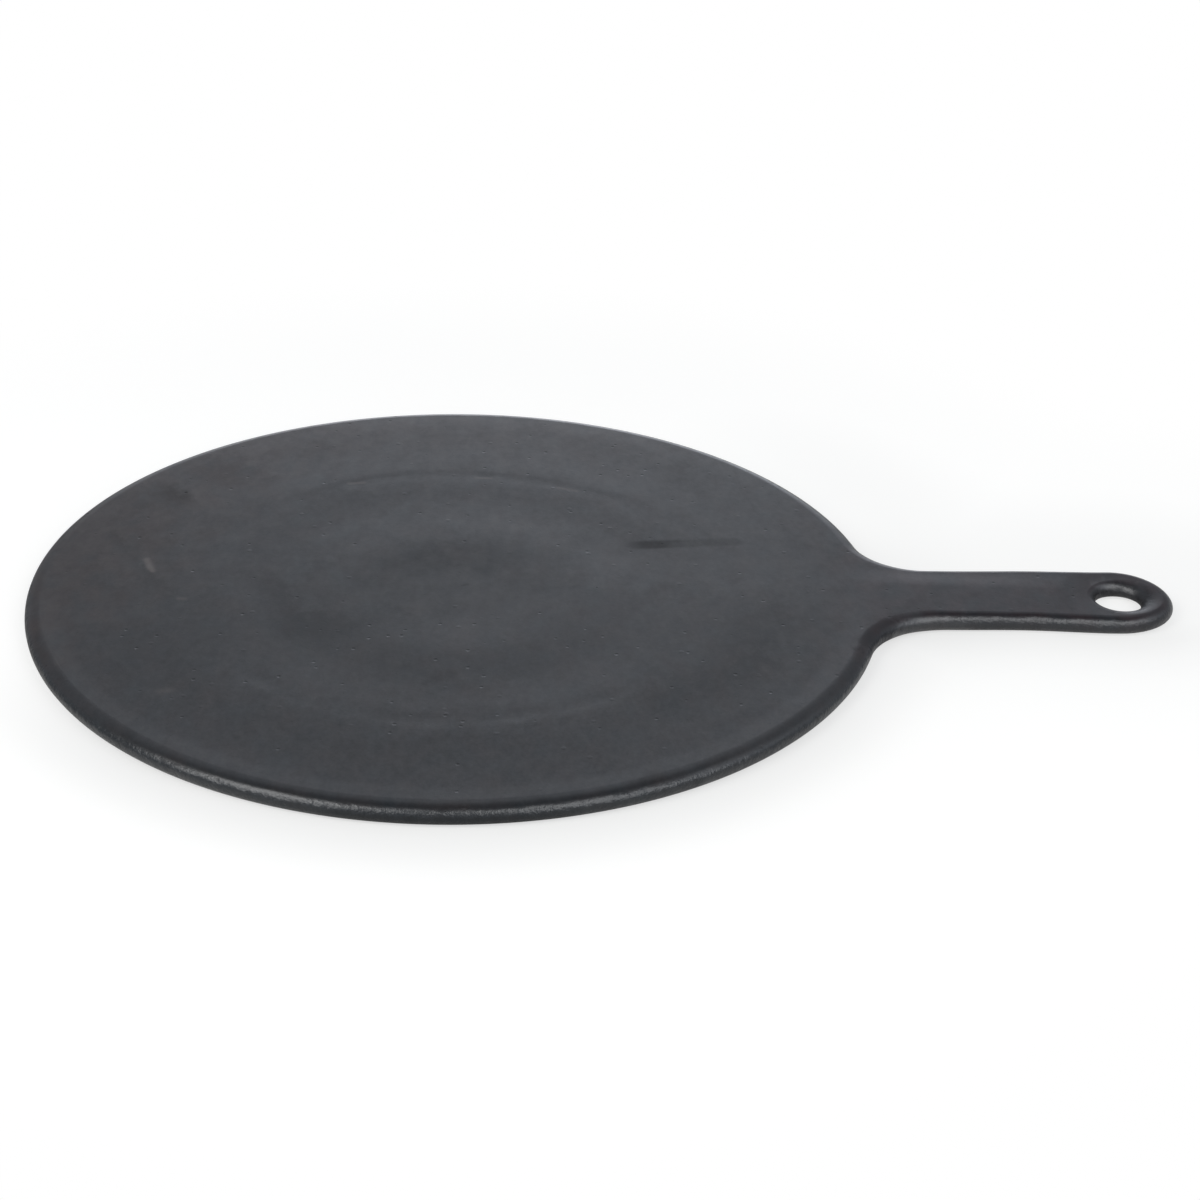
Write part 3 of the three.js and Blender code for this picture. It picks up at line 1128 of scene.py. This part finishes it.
# %% The table
TABLE_DROP = 0.00004  # in metres, as the square is made in Blender's own unit
TABLE_HALF = 6.0


def square(name, half, height):
    """One level square round the origin."""
    mesh = bpy.data.meshes.new(name)
    corners = [(-half, -half, height), (half, -half, height), (half, half, height), (-half, half, height)]
    mesh.from_pydata(corners, [], [(0, 1, 2, 3)])
    made = bpy.data.objects.new(name, mesh)
    bpy.context.scene.collection.objects.link(made)
    return made


for_camera = field(add_node(paper_tree, "ShaderNodeLightPath"), "Is Camera Ray")
shown = add_node(paper_tree, "ShaderNodeMixShader", None, {0: for_camera, 1: reflected, 2: seen})
add_node(paper_tree, "ShaderNodeOutputMaterial", None, {0: shown.outputs[0]})
table = square("table", TABLE_HALF, -TABLE_DROP)
table.data.materials.append(paper)
print("the table's paper has", len(paper_tree.nodes), "nodes")

# %% [markdown]
# ## The light
#
# The griddle was photographed in a studio. A black satin face shows little light of its own and
# mirrors the room, so the room is made as carefully as the lamps. It could be a photograph of a
# studio. A few formulas over the direction are enough: the wall behind is pale low down and again
# in a band half way up, and the ceiling is dark. The wall gives the face its satin grey. Two
# softboxes stand in front, one to the left and one to the right, with a smaller and brighter lamp
# before the upper part of each. The four draw a bright line along the round edge, and the ceiling
# the dark line above it.

# %% The room
COOL_LIGHT = (0.95, 1.0, 1.09, 1)


def room():
    """The light that the griddle reflects from around it, and white for the camera.

    A direction's rise is 0 degrees level behind the griddle, 90 overhead and 180 level in front.
    The wall is dimmer to both sides. Low down and straight behind stands a bright backdrop, and
    a fill comes from high on the right.
    """
    world = bpy.data.worlds.new("studio")
    bpy.context.scene.world = world
    world.use_nodes = True
    tree = world.node_tree
    tree.nodes.clear()
    direction = add_node(tree, "ShaderNodeTexCoord").outputs["Generated"]
    parts = add_node(tree, "ShaderNodeSeparateXYZ", None, {0: direction})
    side, behind, height = field(parts, 0), field(parts, 1), field(parts, 2)
    rise = height.math("ARCTAN2", behind) * math.degrees(1)

    wall = 0.04 + 0.36 * (1 - rise.eased(54, 92)) + 0.12 * (1 - rise.eased(20, 31))
    wall = wall + 0.27 * rise.near(50, 3, 16) - 0.08 * rise.near(34, 0, 9)
    wall = wall * (1 - 0.37 * (1 - side.eased(-0.4, 0.1)) - 0.36 * side.eased(0.12, 0.26))
    front = 0.36 * rise.eased(98, 122)
    backdrop = 1.9 * (1 - height.eased(0.05, 0.37)) * behind.eased(0, 0.8)
    backdrop = backdrop * side.near(0, 0.1, 0.35) * (1 + 0.25 * side.near(0.01, 0, 0.08))
    fill = 0.85 * side.eased(0.35, 0.6) * height.eased(0.2, 0.5) * (1 - behind.eased(0, 0.5))
    light = wall + backdrop + front + fill

    seen = field(add_node(tree, "ShaderNodeLightPath"), "Is Camera Ray")
    values = {"Color": mixed(tree, seen, COOL_LIGHT, WHITE), "Strength": light + seen * (1 - light)}
    background = add_node(tree, "ShaderNodeBackground", None, values)
    add_node(tree, "ShaderNodeOutputWorld", None, {0: background.outputs[0]})


room()
print("the room has", len(bpy.context.scene.world.node_tree.nodes), "nodes")

# %% The softboxes
def direction_from(azimuth, elevation):
    """Unit vector towards a lamp: azimuth 0 stands before the griddle, positive to its right."""
    a, e = math.radians(azimuth), math.radians(elevation)
    return Vector((math.sin(a) * math.cos(e), -math.cos(a) * math.cos(e), math.sin(e)))


def softbox(name, azimuth, elevation, distance, width, height, radiance):
    """A rectangular lamp that faces the griddle, with its brightness as radiance."""
    lamp = bpy.data.lights.new(name, "AREA")
    lamp.shape = "RECTANGLE"
    lamp.size, lamp.size_y = width, height
    lamp.energy = radiance * math.pi * width * height
    made = bpy.data.objects.new(name, lamp)
    towards = direction_from(azimuth, elevation)
    made.location = towards * distance
    made.rotation_euler = towards.to_track_quat("Z", "Y").to_euler()
    made.visible_camera = False
    bpy.context.scene.collection.objects.link(made)
    return made


lamps = [
    softbox("left_softbox", azimuth=-48, elevation=39, distance=1.3, width=1.25, height=0.9, radiance=1.9),
    softbox("left_lamp", azimuth=-50, elevation=47, distance=1.29, width=0.6, height=0.5, radiance=2.7),
    softbox("right_softbox", azimuth=39, elevation=35, distance=1.1, width=0.9, height=0.78, radiance=1.42),
    softbox("right_lamp", azimuth=29, elevation=43, distance=1.09, width=0.4, height=0.42, radiance=1.5),
]
for lamp in lamps:
    print(lamp.name, "stands at", [round(part, 2) for part in lamp.location])

# %% [markdown]
# ## The camera
#
# The camera stands low in front of the griddle, as the photographer's did. It could be set by eye,
# but a small error in its height changes the whole ellipse of the rim. So a pinhole camera was
# fitted to the griddle's outline: where it aims, how far away it stands, from which side and how
# high, how it is tilted and how long its lens is.

# %% The camera of the photograph
CAMERA_AIM = Vector((52.099, 0.566, 0)) * MM
CAMERA_DISTANCE = 900.8 * MM
CAMERA_AZIMUTH = -0.898
CAMERA_ELEVATION = 27.93
CAMERA_ROLL = 1.596
LENS = 74.523

back = direction_from(CAMERA_AZIMUTH, CAMERA_ELEVATION)
camera_data = bpy.data.cameras.new("studio_camera")
camera_data.lens = LENS
camera_data.clip_end = 100
camera = bpy.data.objects.new("studio_camera", camera_data)
camera.location = CAMERA_AIM + back * CAMERA_DISTANCE
level = back.to_track_quat("Z", "Y").to_matrix()
camera.rotation_euler = (level @ Matrix.Rotation(math.radians(CAMERA_ROLL), 3, "Z")).to_euler()
bpy.context.scene.collection.objects.link(camera)
bpy.context.scene.camera = camera
bpy.context.scene.view_settings.view_transform = "Standard"
print("camera stands at", [round(part, 3) for part in camera.location])
